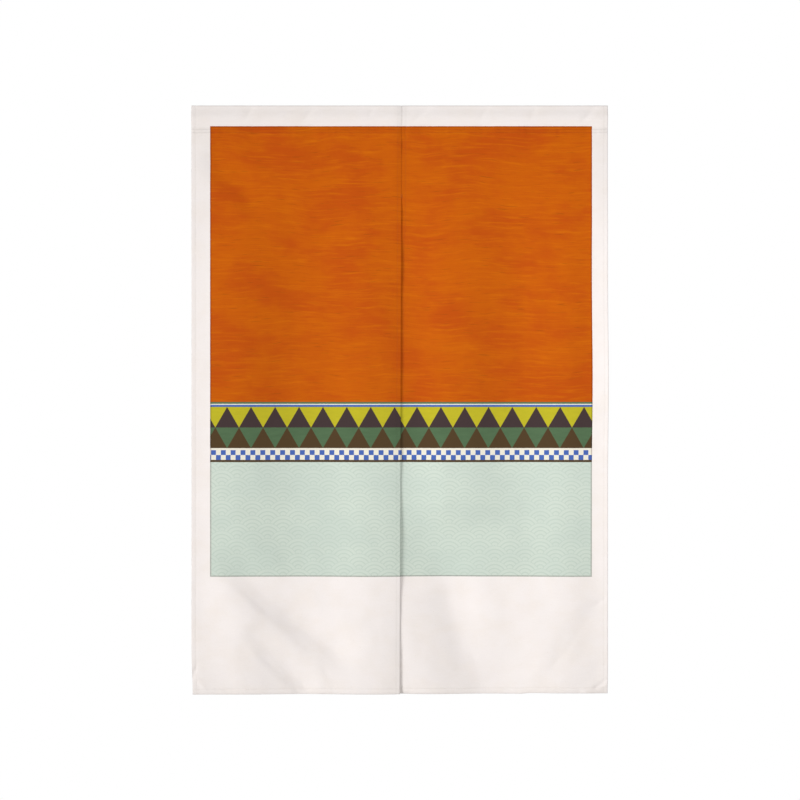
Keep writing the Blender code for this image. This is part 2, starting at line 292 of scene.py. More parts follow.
def fold_depth(fold, x, z):
    """The depth of one fold, from the nearest point of its bent line, which is cut into straight parts."""
    start, middle, end = (np.array(point) for point in (fold.start, fold.middle, fold.end))
    share = np.linspace(0.0, 1.0, FOLD_PARTS + 1)[:, None]
    line = (1 - share) ** 2 * start + 2 * share * (1 - share) * middle + share**2 * end
    nearest = np.full(x.shape, np.inf)
    side = np.zeros_like(x)
    progress = np.zeros_like(x)
    for part, (low, high) in enumerate(zip(line, line[1:])):
        along_x, along_z = high - low
        part_length = math.hypot(along_x, along_z)
        from_x, from_z = x - low[0], z - low[1]
        reached = np.clip((from_x * along_x + from_z * along_z) / part_length**2, 0.0, 1.0)
        distance = np.hypot(from_x - reached * along_x, from_z - reached * along_z)
        closer = distance < nearest
        nearest = np.where(closer, distance, nearest)
        side = np.where(closer, along_x * from_z - along_z * from_x, side)
        progress = np.where(closer, (part + reached) / FOLD_PARTS, progress)
    half_width = np.where(side > 0, fold.left_half, fold.right_half)
    from_end = np.minimum(progress, 1.0 - progress)
    return fold.depth * bell(nearest, half_width) * ease(from_end / FOLD_FADES_OVER)


def crease_depth(x, z):
    """The pocket's creases, deepest at its stitches and gone a little above and below them."""
    strength = ease(1.0 - np.abs(z + POCKET_DROP) / CREASE_REACH)
    total = np.zeros_like(x)
    for crease_x in CREASE_X:
        middle = crease_x + CREASE_LEAN * (z + POCKET_DROP) / CREASE_REACH
        total += CREASE_DEPTH * bell(x - middle, CREASE_HALF)
    return total * strength


def curl_depth(curl, x, z):
    return curl.back * ease(1.0 - np.hypot(x - curl.x, z - curl.z) / curl.reach)


def opened(z, drop):
    """0 above this drop, where the centre is sewn, and 1 a little below it."""
    return ease((-drop - z) / SLIT_BLEND)


def centre_x(z):
    share = np.clip(-z / CURTAIN_DROP, 0.0, 1.0)
    return CENTRE_TOP_X + (CENTRE_BOTTOM_X - CENTRE_TOP_X) * share


def slit_depth(x, z, left):
    """How far back the cloth turns beside the centre line. Below the seam the left edge lies in front."""
    inward = np.abs(x - centre_x(z))
    depth = EDGE_TURN * np.clip(1.0 - inward / EDGE_STRIP, 0.0, 1.0) ** 2
    if left:
        return depth
    kept = 1.0 - TURN_EASES_BY * bell(z - TURN_EASES_Z, TURN_EASES_HALF)
    behind = opened(z, SLIT_STEP_DROP) * kept
    return depth + RIGHT_TURN * behind * np.clip(1.0 - inward / RIGHT_STRIP, 0.0, 1.0) ** 2


def cloth_depth(x, z, left):
    """How far back the front face of the cloth lies from its plane at the pocket's stitches."""
    depth = wave_depth(x, z) + crease_depth(x, z) + slit_depth(x, z, left)
    for fold in FOLDS:
        if (fold.start[0] < 0) == left:
            depth += fold_depth(fold, x, z)
    for curl in CURLS:
        if (curl.x < 0) == left:
            depth += curl_depth(curl, x, z)
    return depth


def drawn_in(x, z):
    """How far a curling corner draws the side edge in at this height, towards +X."""
    total = np.zeros_like(z)
    for curl in CURLS:
        if abs(curl.x - x) < SIDE_HEM:
            total += math.copysign(curl.inward, -curl.x) * ease(1.0 - (z - curl.z) / curl.reach)
    return total


def panel_sides(z, left):
    """The x of the left and the right edge of one panel at these heights."""
    if left:
        outer = -CURTAIN_WIDTH / 2 + drawn_in(-CURTAIN_WIDTH / 2, z)
        return outer, centre_x(z)
    swell = RIGHT_SWELL * bell(z - RIGHT_SWELL_MIDDLE, RIGHT_SWELL_HALF)
    outer = CURTAIN_WIDTH / 2 - RIGHT_SWELL + swell + drawn_in(CURTAIN_WIDTH / 2, z)
    tucked = opened(z, SLIT_LAP_DROP) * (SLIT_LAP + PIECE_GAP)
    lapped = (SEAM_LAP + PIECE_GAP) * ease((-SEAM_LAP_STARTS - z) / SEAM_LAP_STARTS)
    return centre_x(z) + PIECE_GAP - np.maximum(tucked, lapped), outer


def hanging_z(x, drop):
    """The height at this drop. Only the cloth below the print shares in the short side's lift."""
    lift = SHORT_SIDE_LIFT * ease((x - SHORT_SIDE_X) / SHORT_SIDE_BLEND + 0.5)
    return -drop + lift * np.clip((drop - PRINT_DROP) / (CURTAIN_DROP - PRINT_DROP), 0.0, 1.0)


def pocket_half(drop):
    """Half of the pocket's outer depth, front to back, at a drop below its rounded top."""
    share = np.clip((UPPER_STITCHES - drop) / (UPPER_STITCHES - POCKET_RADIUS), 0.0, 1.0)
    bulge = POCKET_BULGE * np.sin(math.pi * share) ** 2
    return CLOTH + (POCKET_RADIUS - CLOTH) * share + bulge


def crumple(x, z, seed):
    """Faint unevenness of washed cotton: many small waves in seeded directions."""
    chance = np.random.default_rng(seed)
    total = np.zeros_like(x)
    weight = 0.0
    for _ in range(CRUMPLE_WAVES):
        length = math.exp(chance.uniform(math.log(0.036), math.log(0.150)))
        angle = chance.uniform(0.0, math.pi)
        phase = chance.uniform(0.0, TWO_PI)
        size = length**0.9
        total += size * np.sin(TWO_PI * (x * math.cos(angle) + z * math.sin(angle)) / length + phase)
        weight += size * size / 2.0
    return CRUMPLE_RMS * total / math.sqrt(weight)


def pucker(along, seed):
    """The gathers that a row of stitches draws in, along that row."""
    chance = np.random.default_rng(seed)
    total = np.zeros_like(along)
    for length in PUCKER_LENGTHS:
        for stretch in (0.9, 1.13):
            total += np.sin(TWO_PI * along / (length * stretch) + chance.uniform(0.0, TWO_PI))
    return PUCKER_DEPTH * total / len(PUCKER_LENGTHS)


def groove(distance):
    return np.exp(-0.5 * (distance / GROOVE_HALF) ** 2)


def relief(across, drop, x, left):
    """What the sewing and wear add to the CAD's shape, towards the back. across runs over one panel."""
    width = CURTAIN_WIDTH / 2
    seed = 11 if left else 23
    depth = crumple(x, -drop, seed) * ease((drop - 0.010) / 0.05)
    for crease in CREASES:
        if (crease.x < 0) == left:
            depth += small_crease(crease, x, drop)
    depth += seam_turn(across, drop, left) + margin_turn(across, drop, left)
    to_bottom = CURTAIN_DROP - drop
    for number, inward in enumerate((across, width - across)):
        near = np.exp(-0.5 * ((inward - SIDE_STITCHES) / PUCKER_REACH) ** 2)
        share = OUTER_SHARE if (number == 0) == left else INNER_SHARE
        depth += share * pucker(drop, seed + 3 + number) * near
        depth += share * GROOVE_DEPTH * groove(inward - SIDE_STITCHES)
    rolled = np.clip(1.0 - to_bottom / HEM_ROLL_REACH, 0.0, 1.0) ** 2
    depth += HEM_ROLL * rolled
    if not left:
        depth += CORNER_HEM_ROLL * rolled * ease(1.0 - across / CORNER_HEM_WIDTH)
        near = ease(1.0 - across / CORNER_ROLL_WIDTH)
        depth += CORNER_ROLL * near * np.clip(1.0 - to_bottom / CORNER_ROLL_HEIGHT, 0.0, 1.0) ** 2
        depth -= CORNER_CURLS_LESS * curl_depth(SLIT_CORNER, x, -drop)
        smooth = ease((drop - PRINT_DROP) / SMOOTH_BLEND) * ease((SMOOTH_ENDS_X - x) / SMOOTH_BLEND_X)
        depth -= smooth * wave_depth(x, -drop)
    near = np.exp(-0.5 * ((to_bottom - BOTTOM_STITCHES) / PUCKER_REACH) ** 2)
    depth += pucker(across, seed + 7) * near
    depth += GROOVE_DEPTH * groove(to_bottom - BOTTOM_STITCHES)
    between = (drop - UPPER_STITCH_DROP) / (LOWER_STITCH_DROP - UPPER_STITCH_DROP)
    off_rows = np.maximum(0.0, np.abs(between - 0.5) - 0.5) * (LOWER_STITCH_DROP - UPPER_STITCH_DROP)
    depth += 1.6 * pucker(across, seed + 9) * np.exp(-0.5 * (off_rows / 0.006) ** 2)
    for row in (LOWER_STITCH_DROP, UPPER_STITCH_DROP):
        depth += GROOVE_DEPTH * groove(drop - row)
    return depth


def small_crease(crease, x, drop):
    """A short narrow crease about its middle. Its lean is in degrees from level, up to the right."""
    from_x, from_z = x - crease.x, crease.drop - drop
    rise = math.radians(crease.lean)
    along = from_x * math.cos(rise) + from_z * math.sin(rise)
    aside = from_z * math.cos(rise) - from_x * math.sin(rise)
    tapered = ease(1.0 - np.abs(along) / crease.reach)
    return crease.depth * np.exp(-0.5 * (aside / crease.half) ** 2) * tapered


def seam_turn(across, drop, left):
    """What this cloth's turn beside the centre line differs by from the CAD's."""
    sewn = 1.0 - opened(-drop, SLIT_STEP_DROP)
    inward = CURTAIN_WIDTH / 2 - across if left else across
    narrow = np.clip(1.0 - inward / EDGE_STRIP, 0.0, 1.0) ** 2
    if left:
        return (SEAM_TURN - EDGE_TURN) * narrow
    wide = np.clip(1.0 - inward / SEAM_TURN_STRIP, 0.0, 1.0) ** 2
    behind = np.clip(1.0 - inward / RIGHT_STRIP, 0.0, 1.0) ** 2
    lost = RIGHT_TURN * TURN_EASES_BY * bell(-drop - TURN_EASES_Z, TURN_EASES_HALF)
    soft = (SLIT_TURN - lost) * (1.0 - ease(inward / SLIT_TURN_STRIP)) - (RIGHT_TURN - lost) * behind
    return sewn * SEAM_TURN * wide + (1.0 - sewn) * soft - EDGE_TURN * narrow


def margin_turn(across, drop, left):
    """The outer edges turn towards the left a little: the left one back and the right one forward."""
    inward = across if left else CURTAIN_WIDTH / 2 - across
    size, strip = LEFT_MARGIN_TURN, LEFT_MARGIN_STRIP
    if not left:
        size, strip = RIGHT_MARGIN_TURN, RIGHT_MARGIN_STRIP
    grown = ease((drop - MARGIN_TURN_STARTS) / MARGIN_TURN_STARTS)
    if left:
        grown = grown * ease((LEFT_MARGIN_TURN_ENDS - drop) / MARGIN_TURN_STARTS)
    return size * grown * np.clip(1.0 - inward / strip, 0.0, 1.0) ** 1.5


def across_lines():
    """Distances over one panel of the mesh's upright lines, close together at the hems."""
    width = CURTAIN_WIDTH / 2
    low = np.array(SIDE_LINES)
    middle = np.linspace(low[-1], width - low[-1], ACROSS_COUNT + 2)[1:-1]
    return np.concatenate([low, middle, (width - low)[::-1]])


def section_lines():
    """The mesh's level lines from the bottom hem up the front, over the pocket and down its back.

    Each is a drop, the share of the turn over the rounded top (0 in front and 1 behind), and the length
    along the cloth from the top line, which is negative behind.
    """
    low = CURTAIN_DROP - np.array(BOTTOM_LINES)
    pocket = np.array(POCKET_LINES)
    middle = np.linspace(low[-1], pocket[0], DOWN_COUNT + 2)[1:-1]
    upper = np.linspace(pocket[-1], POCKET_RADIUS, POCKET_COUNT + 2)[1:-1]
    front = np.concatenate([low, middle, pocket, upper])
    turn = np.linspace(0.0, 1.0, ARC_COUNT + 1)
    arc_drop = POCKET_RADIUS - np.sin(math.pi * turn) * POCKET_RADIUS
    back = np.concatenate([upper[::-1], pocket[::-1][:-1], [POCKET_DROP + POCKET_TAIL]])
    drop = np.concatenate([front, arc_drop, back])
    share = np.concatenate([np.zeros(len(front)), turn, np.ones(len(back))])
    run = np.concatenate([front, POCKET_RADIUS * np.cos(math.pi * turn), -back])
    return drop, share, run


Sheet = namedtuple("Sheet", "across run outer inner normal")


def lay_out_sheet(left):
    """The outer and inner grids of one half of the curtain, pocket included."""
    across = across_lines()
    drop, turn, run = section_lines()
    width = CURTAIN_WIDTH / 2
    shares = across / width
    low, high = panel_sides(-drop[:, None], left)
    x = low + shares[None, :] * (high - low)
    z = hanging_z(x, drop[:, None])
    to_side = np.minimum(across, width - across)[None, :]
    to_bottom = np.where(run > 0, CURTAIN_DROP - run, width)[:, None]
    beyond = np.minimum(to_side - SIDE_HEM, to_bottom - BOTTOM_HEM)
    thick = SHEET + HEM_LAYER * (1.0 - ease(beyond / HEM_STEP))

    # The pocket's back wall meets the front one at the stitches, and shares its relief there
    turn_column, drop_column = turn[:, None], drop[:, None]
    closing = ease((drop_column - CLOSING_STARTS) / (UPPER_STITCHES - CLOSING_STARTS))
    shared = np.where(turn_column < 0.5, 1.0, closing)
    stepped = seam_turn(across[None, :], drop_column, left)
    added = relief(across[None, :], drop_column, x, left)
    depth = cloth_depth(x, z, left) + added * shared + stepped * (1.0 - shared)
    half = pocket_half(drop_column) * np.ones_like(x)
    half_back = half + (2 * thick + WALL_GAP - CLOTH - half) * closing
    round_top = -np.cos(math.pi * turn_column) * POCKET_RADIUS
    section = np.where(turn_column == 0.0, -half, np.where(turn_column == 1.0, half_back, round_top))
    outer = np.stack([x, depth + section, z], axis=-1)

    along = np.gradient(outer, axis=1)
    upward = np.gradient(outer, axis=0)
    normal = np.cross(along, upward)
    normal /= np.linalg.norm(normal, axis=-1, keepdims=True)
    inner = outer - normal * thick[..., None]
    to_tail = (run + POCKET_DROP + POCKET_TAIL)[:, None]
    to_edge = np.minimum(np.minimum(to_side, to_bottom), to_tail)
    pinch = EDGE_PINCH * (1.0 - np.sqrt(np.clip(to_edge / EDGE_ROUND, 0.0, 1.0)))
    if not left:
        pinch = pinch * np.maximum(opened(z, SEAM_DROP), ease((across - SIDE_HEM) / SIDE_HEM)[None, :])
    middle = (outer + inner) / 2
    outer = outer + (middle - outer) * pinch[..., None]
    inner = inner + (middle - inner) * pinch[..., None]
    return Sheet(across, run, outer, inner, normal)


def flat_points(sheet, left):
    """Where each point of the grid lies on the flat cloth: across the whole curtain, and down it."""
    start = 0.0 if left else CURTAIN_WIDTH / 2
    across = np.broadcast_to(sheet.across[None, :] + start, sheet.outer.shape[:2])
    down = np.broadcast_to(sheet.run[:, None], sheet.outer.shape[:2])
    return np.stack([across, down], axis=-1)


def add_mesh(name, points, faces, flat, materials, indices):
    mesh = bpy.data.meshes.new(name)
    mesh.from_pydata(points.tolist(), [], faces.tolist())
    layer = mesh.uv_layers.new(name="flat")
    corners = np.empty(len(mesh.loops), dtype=np.int32)
    mesh.loops.foreach_get("vertex_index", corners)
    layer.data.foreach_set("uv", flat[corners].astype(np.float32).ravel())
    for material in materials:
        mesh.materials.append(material)
    mesh.polygons.foreach_set("material_index", np.asarray(indices, dtype=np.int32))
    mesh.shade_smooth()
    mesh.validate()
    piece = bpy.data.objects.new(name, mesh)
    bpy.context.scene.collection.objects.link(piece)
    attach(piece, "root")
    return piece


def add_cloth(name, sheet, left, materials):
    """A closed thin shell from the two grids. The first material is the printed side's."""
    rows, columns = sheet.outer.shape[:2]
    numbers = np.arange(rows * columns).reshape(rows, columns)
    below, above = numbers[:-1], numbers[1:]
    outer = np.stack([below[:, :-1], below[:, 1:], above[:, 1:], above[:, :-1]], axis=-1)
    inner = outer[..., ::-1] + rows * columns
    rim = np.concatenate([numbers[0], numbers[1:, -1], numbers[-1, -2::-1], numbers[-2:0:-1, 0]])
    following = np.roll(rim, -1)
    edge = np.stack([following, rim, rim + rows * columns, following + rows * columns], axis=-1)
    faces = np.concatenate([outer.reshape(-1, 4), inner.reshape(-1, 4), edge])
    in_front = np.broadcast_to(sheet.run[1:, None] > 0, outer.shape[:2])
    middle = (sheet.across[1:] + sheet.across[:-1]) / 2
    turned_in = np.minimum(middle, CURTAIN_WIDTH / 2 - middle) < SIDE_HEM
    hem_inside = np.broadcast_to(turned_in[None, :], outer.shape[:2])
    right_side = np.concatenate([in_front.ravel(), hem_inside.ravel(), np.ones(len(edge), dtype=bool)])
    indices = np.where(right_side, 0, 1)
    points = np.concatenate([sheet.outer.reshape(-1, 3), sheet.inner.reshape(-1, 3)])
    flat = flat_points(sheet, left).reshape(-1, 2)
    return add_mesh(name, points, faces, np.concatenate([flat, flat]), materials, indices)


def on_grid(sheet, grid, across, run):
    """The grid's values at these places of the flat cloth, between its lines."""
    column = np.interp(across, sheet.across, np.arange(len(sheet.across)))
    row = np.interp(-run, -sheet.run, np.arange(len(sheet.run)))
    c = np.clip(column.astype(int), 0, len(sheet.across) - 2)
    r = np.clip(row.astype(int), 0, len(sheet.run) - 2)
    s = (column - c)[:, None]
    t = (row - r)[:, None]
    lower = grid[r, c] * (1 - s) + grid[r, c + 1] * s
    upper = grid[r + 1, c] * (1 - s) + grid[r + 1, c + 1] * s
    return lower * (1 - t) + upper * t


def stitch_row(start, end, seed, shift=0.0):
    """The two ends of each stitch of a straight row on the flat cloth, a little uneven."""
    chance = np.random.default_rng(seed)
    start, end = np.array(start), np.array(end)
    length = np.linalg.norm(end - start)
    direction = (end - start) / length
    aside = np.array([-direction[1], direction[0]])
    count = int(length / STITCH_PITCH)
    middle = (np.arange(count) + 0.5 + shift) * length / count
    middle = middle + chance.normal(0.0, 0.00008, count)
    wander = 0.00022 * np.sin(middle * TWO_PI / 0.19 + chance.uniform(0, TWO_PI))
    wander += chance.normal(0.0, 0.00005, count)
    reach = STITCH_LENGTH / 2 * chance.uniform(0.93, 1.05, count)
    centre = start + middle[:, None] * direction + wander[:, None] * aside
    return centre - reach[:, None] * direction, centre + reach[:, None] * direction


def thread_arcs(first, last, out):
    """Tubes from first to last, bowed outwards, with their ends sunk into the cloth."""
    span = last - first
    along = span / np.linalg.norm(span, axis=1, keepdims=True)
    side = np.cross(along, out)
    side /= np.linalg.norm(side, axis=1, keepdims=True)
    up = np.cross(side, along)
    rings = []
    for share, rise, size in ((0.14, 0.3, 0.85), (0.5, 0.75, 1.0), (0.86, 0.3, 0.85)):
        centre = first + span * share + up * (rise * THREAD_RADIUS)
        for k in range(THREAD_SIDES):
            angle = TWO_PI * k / THREAD_SIDES
            spoke = side * math.cos(angle) + up * math.sin(angle) * 0.8
            rings.append(centre + spoke * (size * THREAD_RADIUS))
    sunk = up * (1.2 * THREAD_RADIUS)
    return np.stack([first - sunk] + rings + [last - sunk], axis=1)


def thread_faces():
    n = THREAD_SIDES
    faces = []
    for k in range(n):
        m = (k + 1) % n
        faces.append((0, 1 + m, 1 + k))
        for ring in range(2):
            low = 1 + ring * n
            faces.append((low + k, low + m, low + n + m))
            faces.append((low + k, low + n + m, low + n + k))
        faces.append((1 + 2 * n + k, 1 + 2 * n + m, 1 + 3 * n))
    return np.array(faces)


def add_threads(name, arcs, flat, material):
    """All the stitches of one piece as one mesh. Each has the flat place of its middle."""
    count, size = arcs.shape[:2]
    faces = (thread_faces()[None] + np.arange(count)[:, None, None] * size).reshape(-1, 3)
    places = np.repeat(flat, size, axis=0)
    return add_mesh(name, arcs.reshape(-1, 3), faces, places, [material], np.zeros(len(faces)))


def sew_panel(name, sheet, left, material):
    """The stitches of one half: both side hems, the bottom hem and the pocket's two rows, on both faces."""
    width = CURTAIN_WIDTH / 2
    ends = CURTAIN_DROP - ROW_END
    start = 0.0 if left else width
    rows = [
        ((SIDE_STITCHES, ROW_START), (SIDE_STITCHES, ends)),
        ((width - SIDE_STITCHES, ROW_START), (width - SIDE_STITCHES, ends)),
        ((ROW_END, CURTAIN_DROP - BOTTOM_STITCHES), (width - ROW_END, CURTAIN_DROP - BOTTOM_STITCHES)),
        ((ROW_END, LOWER_STITCH_DROP), (width - ROW_END, LOWER_STITCH_DROP)),
        ((ROW_END, UPPER_STITCH_DROP), (width - ROW_END, UPPER_STITCH_DROP)),
    ]
    arcs, flat = [], []
    for number, (first, last) in enumerate(rows):
        pocket_row = number > 2
        seed = number + (40 if left else 60)
        for on_back in (False, True):
            low, high = stitch_row(first, last, seed, 0.0 if not on_back else 0.5)
            keep = high.max(axis=1) < ends + 0.0006
            low, high = low[keep], high[keep]
            turned = -1.0 if on_back and pocket_row else 1.0
            surface = sheet.inner if on_back and not pocket_row else sheet.outer
            points = [on_grid(sheet, surface, p[:, 0], turned * p[:, 1]) for p in (low, high)]
            out = on_grid(sheet, sheet.normal, low[:, 0], turned * low[:, 1])
            if on_back and not pocket_row:
                out = -out
            arcs.append(thread_arcs(points[0], points[1], out))
            middle = (low + high) / 2
            flat.append(np.stack([middle[:, 0] + start, turned * middle[:, 1]], axis=1))
    return add_threads(name, np.concatenate(arcs), np.concatenate(flat), material)


def sew_centre(name, left_sheet, right_sheet, material):
    """Small stitches over the two halves' hems, on both faces, with a bar of them at the end."""
    width = CURTAIN_WIDTH / 2
    chance = np.random.default_rng(81)
    count = int(SEAM_DROP / SEAM_PITCH)
    drops = (np.arange(count) + 0.6) * SEAM_PITCH + chance.normal(0.0, 0.0002, count)
    reach = SEAM_REACH * chance.uniform(0.85, 1.15, count)
    bar = SEAM_DROP + BARTACK_PITCH * (np.arange(BARTACK_COUNT) - BARTACK_COUNT / 2)
    drops = np.concatenate([drops, bar])
    reach = np.concatenate([reach, BARTACK_REACH * chance.uniform(0.94, 1.06, BARTACK_COUNT)])
    slant = np.concatenate([chance.normal(0.0006, 0.0002, count), np.zeros(BARTACK_COUNT)])
    arcs, flat = [], []
    for on_back in (False, True):
        in_pocket = on_back & (drops < POCKET_DROP)
        run = np.where(in_pocket, -drops, drops)
        ends = []
        for sheet, across in ((left_sheet, width - reach), (right_sheet, reach)):
            lean = slant if sheet is right_sheet else -slant
            place = np.where(in_pocket, run - lean, run + lean)
            outside = on_grid(sheet, sheet.outer, across, place)
            inside = on_grid(sheet, sheet.inner, across, place)
            use_outer = in_pocket[:, None] | (not on_back)
            ends.append(np.where(use_outer, outside, inside))
        out = np.zeros((len(drops), 3))
        out[:, 1] = 1.0 if on_back else -1.0
        arcs.append(thread_arcs(ends[0], ends[1], out))
        flat.append(np.stack([np.full(len(drops), width), run], axis=1))
    return add_threads(name, np.concatenate(arcs), np.concatenate(flat), material)


def linear(red, green, blue):
    """An sRGB colour of 0 to 255 as the linear colour that shaders take."""
    values = []
    for value in (red, green, blue):
        value /= 255.0
        values.append(value / 12.92 if value <= 0.04045 else ((value + 0.055) / 1.055) ** 2.4)
    return (*values, 1.0)


NATURAL = linear(239, 232, 229)
NATURAL_WARM = linear(237, 229, 224)
THREAD = linear(236, 229, 222)
ORANGE = linear(198, 93, 5)
ORANGE_GOLD = linear(209, 108, 6)
ORANGE_RED = linear(189, 78, 9)
ORANGE_DARK = linear(152, 70, 8)
SAGE = linear(203, 213, 202)
SAGE_DEEP = linear(186, 200, 188)
DARK_GREEN = linear(86, 112, 81)
DARK_BROWN = linear(79, 61, 39)
YELLOW_GREEN = linear(190, 180, 40)
AUBERGINE = linear(66, 53, 53)
BLUE = linear(72, 101, 173)
OFF_WHITE = linear(230, 225, 210)
EDGE_INK = (0.66, 0.62, 0.62, 1.0)  # multiplies the ink along the edge of the print


class Nodes:
    """Adds shader nodes to one tree. A value is a number, a colour, a vector or another node's output."""

    def __init__(self, tree):
        self.tree = tree

    def feed(self, socket, value):
        if isinstance(value, bpy.types.NodeSocket):
            self.tree.links.new(value, socket)
        else:
            socket.default_value = value

    def add(self, kind, inputs, **settings):
        node = self.tree.nodes.new(kind)
        for name, value in settings.items():
            setattr(node, name, value)
        for name, value in inputs.items():
            self.feed(node.inputs[name], value)
        return node

    def math(self, operation, *values):
        return self.add("ShaderNodeMath", dict(enumerate(values)), operation=operation).outputs[0]

    def mix(self, share, low, high, blend="MIX"):
        inputs = {0: share, 6: low, 7: high}
        return self.add("ShaderNodeMix", inputs, data_type="RGBA", blend_type=blend).outputs[2]

    def rise(self, value, low, high):
        """0 below low and 1 above high, smooth between them."""
        inputs = {"Value": value, "From Min": low, "From Max": high}
        return self.add("ShaderNodeMapRange", inputs, interpolation_type="SMOOTHSTEP").outputs[0]

    def between(self, value, low, high, soft):
        return self.math(
            "MULTIPLY", self.rise(value, low - soft, low + soft), self.rise(value, high + soft, high - soft)
        )

    def noise(self, u, v, scale_u, scale_v, detail=2.0, rough=0.5, seed=0.0):
        """Noise over the flat cloth with this many cells a metre either way, from 0 to 1."""
        place = self.add(
            "ShaderNodeCombineXYZ",
            {0: self.math("MULTIPLY", u, scale_u), 1: self.math("MULTIPLY", v, scale_v), 2: seed},
        ).outputs[0]
        inputs = {"Vector": place, "Scale": 1.0, "Detail": detail, "Roughness": rough}
        return self.add("ShaderNodeTexNoise", inputs).outputs[0]


def weave(n, u, v):
    """Height of a plain weave, 0 to 1, with yarns of uneven thickness."""
    drift_u = n.math("MULTIPLY", n.noise(u, v, 900, 90, 1.0, 0.5, 3.1), 0.45)
    drift_v = n.math("MULTIPLY", n.noise(u, v, 90, 900, 1.0, 0.5, 7.7), 0.45)
    across = n.math("ADD", n.math("DIVIDE", u, YARN_PITCH), drift_u)
    down = n.math("ADD", n.math("DIVIDE", v, YARN_PITCH), drift_v)
    warp = n.math("SINE", n.math("MULTIPLY", n.math("FRACT", across), math.pi))
    weft = n.math("SINE", n.math("MULTIPLY", n.math("FRACT", down), math.pi))
    cell = n.math("ADD", n.math("FLOOR", across), n.math("FLOOR", down))
    odd = n.math("ABSOLUTE", n.math("MODULO", cell, 2.0))
    warp_up = n.math("MULTIPLY", warp, n.math("MULTIPLY_ADD", weft, 0.45, 0.55))
    weft_up = n.math("MULTIPLY", weft, n.math("MULTIPLY_ADD", warp, 0.45, 0.55))
    over = n.math("MULTIPLY", warp_up, n.math("SUBTRACT", 1.0, odd))
    under = n.math("MULTIPLY", weft_up, odd)
    return n.math("ADD", over, under)


def slubs(n, u, v):
    """Thick places in the yarn, 0 to 1: short level streaks and fewer upright ones."""
    level = n.rise(n.noise(u, v, 42, 1150, 1.0, 0.4, 1.3), 0.62, 0.80)
    upright = n.rise(n.noise(u, v, 1150, 36, 1.0, 0.4, 5.9), 0.66, 0.84)
    return n.math("MAXIMUM", level, n.math("MULTIPLY", upright, 0.8))


def orange_ground(n, u, v):
    """Brushed orange with short level strokes, paler at its top. The strokes sway a little."""
    sway = n.math("MULTIPLY", n.math("SUBTRACT", n.noise(u, v, 6.0, 6.0, 2.0, 0.5, 0.7), 0.5), 0.030)
    brushed = n.math("ADD", v, sway)
    broad = n.noise(u, brushed, 8.0, 15.0, 5.0, 0.62, 2.2)
    streak = n.noise(u, brushed, 15.0, 230.0, 3.0, 0.62, 4.4)
    fine = n.noise(u, brushed, 30.0, 560.0, 2.0, 0.6, 6.6)
    mark = n.noise(u, brushed, 26.0, 400.0, 2.0, 0.5, 8.8)
    colour = n.mix(n.rise(broad, 0.36, 0.60), ORANGE_RED, ORANGE)
    colour = n.mix(n.math("MULTIPLY", n.rise(streak, 0.46, 0.74), 0.70), colour, ORANGE_GOLD)
    colour = n.mix(n.math("MULTIPLY", n.rise(fine, 0.46, 0.72), 0.60), colour, ORANGE_RED)
    colour = n.mix(n.math("MULTIPLY", n.rise(mark, 0.62, 0.76), 0.60), colour, ORANGE_DARK)
    lower = n.math("MULTIPLY", n.rise(v, PRINT_TOP, ORANGE_ENDS), 0.16)
    return n.mix(lower, colour, ORANGE_DARK)


def triangle_rows(n, u, v):
    """Two rows of the traditional fish-scale triangles."""
    from_top = n.math("SUBTRACT", v, TRIANGLES_START)
    row = n.math("FLOOR", n.math("DIVIDE", from_top, TRIANGLE_HEIGHT))
    height = n.math("FRACT", n.math("DIVIDE", from_top, TRIANGLE_HEIGHT))
    shifted = n.math("ADD", n.math("DIVIDE", u, TRIANGLE_BASE), n.math("MULTIPLY", row, 0.5))
    from_middle = n.math("ABSOLUTE", n.math("SUBTRACT", n.math("FRACT", shifted), 0.5))
    inside = n.math("SUBTRACT", n.math("MULTIPLY", height, 0.5), from_middle)
    share = n.rise(inside, -0.012, 0.012)
    first_ground = n.mix(n.noise(u, v, 40, 160, 2.0, 0.6, 1.1), YELLOW_GREEN, linear(176, 168, 40))
    second_ground = n.mix(n.noise(u, v, 40, 160, 2.0, 0.6, 1.7), DARK_GREEN, linear(74, 98, 70))
    ground = n.mix(n.rise(row, 0.4, 0.6), first_ground, second_ground)
    shape = n.mix(n.rise(row, 0.4, 0.6), AUBERGINE, DARK_BROWN)
    return n.mix(share, ground, shape)


def check_rows(n, u, v):
    cell = n.math(
        "ADD",
        n.math("FLOOR", n.math("DIVIDE", u, CHECK_SIZE)),
        n.math("FLOOR", n.math("DIVIDE", n.math("SUBTRACT", v, CHECKS_START), CHECK_SIZE)),
    )
    return n.mix(n.math("ABSOLUTE", n.math("MODULO", cell, 2.0)), BLUE, OFF_WHITE)


